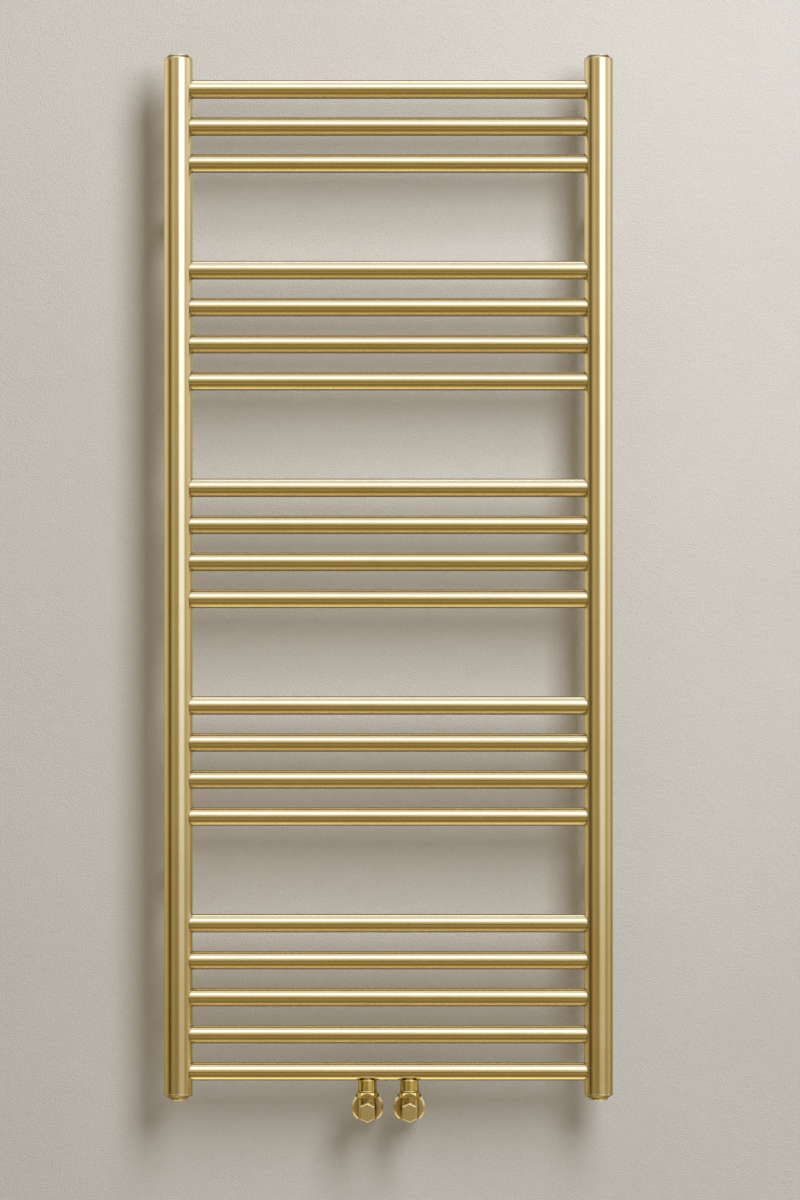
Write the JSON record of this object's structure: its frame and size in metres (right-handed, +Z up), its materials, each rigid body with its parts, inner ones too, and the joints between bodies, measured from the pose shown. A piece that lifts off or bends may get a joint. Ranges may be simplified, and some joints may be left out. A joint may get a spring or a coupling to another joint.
{
  "type": "towel warmer rack",
  "caption": "Wall-hung hot-water ladder towel warmer in brushed brass: two round posts, grouped round rungs, angled valves below the middle and depth-adjustable wall brackets.",
  "frame": {"origin": "centre of the rectangle of four wall screws, on the wall plane", "axes": "+X to the right seen from the front, +Y into the wall, +Z up; the front faces -Y"},
  "size_m": [0.534, 0.1, 1.2694],
  "materials": {
    "satin_brass": "satin, finely brushed along each tube",
    "valve_brass": "semi-polished",
    "bare_brass": "machined",
    "steel": "machined, zinc plated",
    "rubber": "matt black"
  },
  "bodies": {
    "wall_brackets": {"wall_sleeve_top_left": "satin_brass", "wall_sleeve_top_right": "satin_brass", "wall_sleeve_bottom_left": "satin_brass", "wall_sleeve_bottom_right": "satin_brass", "grub_screws": "steel"},
    "radiator": {"left_post": "satin_brass", "right_post": "satin_brass", "rung_01": "satin_brass", "rung_02": "satin_brass", "rung_03": "satin_brass", "rung_04": "satin_brass", "rung_05": "satin_brass", "rung_06": "satin_brass", "rung_07": "satin_brass", "rung_08": "satin_brass", "rung_09": "satin_brass", "rung_10": "satin_brass", "rung_11": "satin_brass", "rung_12": "satin_brass", "rung_13": "satin_brass", "rung_14": "satin_brass", "rung_15": "satin_brass", "rung_16": "satin_brass", "rung_17": "satin_brass", "rung_18": "satin_brass", "rung_19": "satin_brass", "rung_20": "satin_brass", "top_left_cap": "satin_brass", "top_right_cap": "satin_brass", "bottom_left_cap": "satin_brass", "bottom_right_cap": "satin_brass", "air_vent_plug": "satin_brass", "top_blanking_plug": "satin_brass", "bottom_blanking_plugs": "satin_brass", "plug_gaskets": "rubber", "flow_inlet_boss": "satin_brass", "return_inlet_boss": "satin_brass", "flow_divider": "bare_brass", "bracket_bosses": "satin_brass", "bracket_pins": "steel", "flow_tail": "valve_brass", "flow_union_nut": "valve_brass", "flow_valve_body": "valve_brass", "flow_bonnet": "bare_brass", "flow_compression_nut": "valve_brass", "return_tail": "valve_brass", "return_union_nut": "valve_brass", "return_valve_body": "valve_brass", "return_bonnet": "bare_brass", "return_compression_nut": "valve_brass", "union_gaskets": "rubber", "olives": "bare_brass", "spindle_o_rings": "rubber"},
    "bleed_screw": {"bleed_screw": "steel"},
    "flow_head": {"flow_head": "valve_brass", "flow_spindle": "steel"},
    "flow_poppet": {"flow_poppet": "bare_brass"},
    "return_head": {"return_head": "valve_brass", "return_spindle": "steel"},
    "return_poppet": {"return_poppet": "bare_brass"}
  },
  "joints": [
    {"name": "depth_adjust", "type": "slide", "parent": "wall_brackets", "child": "radiator", "axis": [0, 1, 0], "range_m": [-0.01, 0.01]},
    {"name": "bleed_screw_turn", "type": "hinge", "parent": "radiator", "child": "bleed_screw", "pos_m": [-0.25, -0.075, 0.5785], "axis": [0, 0, 1], "range_deg": [0, 360]},
    {"name": "flow_head_turn", "type": "hinge", "parent": "radiator", "child": "flow_head", "pos_m": [-0.025, -0.09, -0.675], "axis": [0, 1, 0], "range_deg": [0, 1080]},
    {"name": "flow_poppet_slide", "type": "slide", "parent": "radiator", "child": "flow_poppet", "axis": [0, 1, 0], "range_m": [0, 0.003]},
    {"name": "return_head_turn", "type": "hinge", "parent": "radiator", "child": "return_head", "pos_m": [0.025, -0.09, -0.675], "axis": [0, 1, 0], "range_deg": [0, 1080]},
    {"name": "return_poppet_slide", "type": "slide", "parent": "radiator", "child": "return_poppet", "axis": [0, 1, 0], "range_m": [0, 0.003]}
  ],
  "couplings": [
    {"joint": "flow_poppet_slide", "follows": "flow_head_turn", "m_per_rad": 0.000159},
    {"joint": "return_poppet_slide", "follows": "return_head_turn", "m_per_rad": 0.000159}
  ]
}
